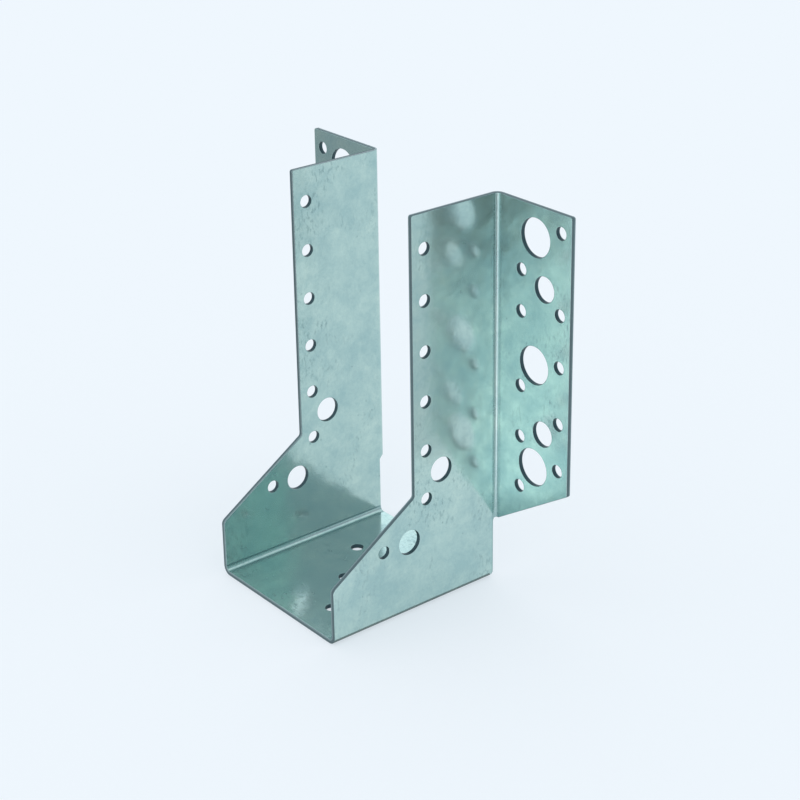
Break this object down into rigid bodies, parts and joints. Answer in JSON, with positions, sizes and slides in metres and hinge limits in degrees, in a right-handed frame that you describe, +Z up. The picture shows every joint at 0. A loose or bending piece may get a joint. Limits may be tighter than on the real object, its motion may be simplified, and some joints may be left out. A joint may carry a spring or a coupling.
{
  "type": "joist hanger",
  "caption": "Folded and punched galvanised sheet: a flat seat between two tall cheeks with flared feet, and an outward flange on each cheek with nail, bolt and anchor holes.",
  "frame": {"origin": "under the middle of the hanger, in the plane of the seat's underside", "axes": "X across the joist, Y along the joist towards the header, Z up"},
  "size_m": [0.166, 0.09, 0.176],
  "materials": {
    "galvanised_steel": "hot-dip galvanised, semi-gloss, faintly mottled"
  },
  "bodies": {
    "root": {"hanger_sheet": "galvanised_steel"}
  },
  "joints": []
}
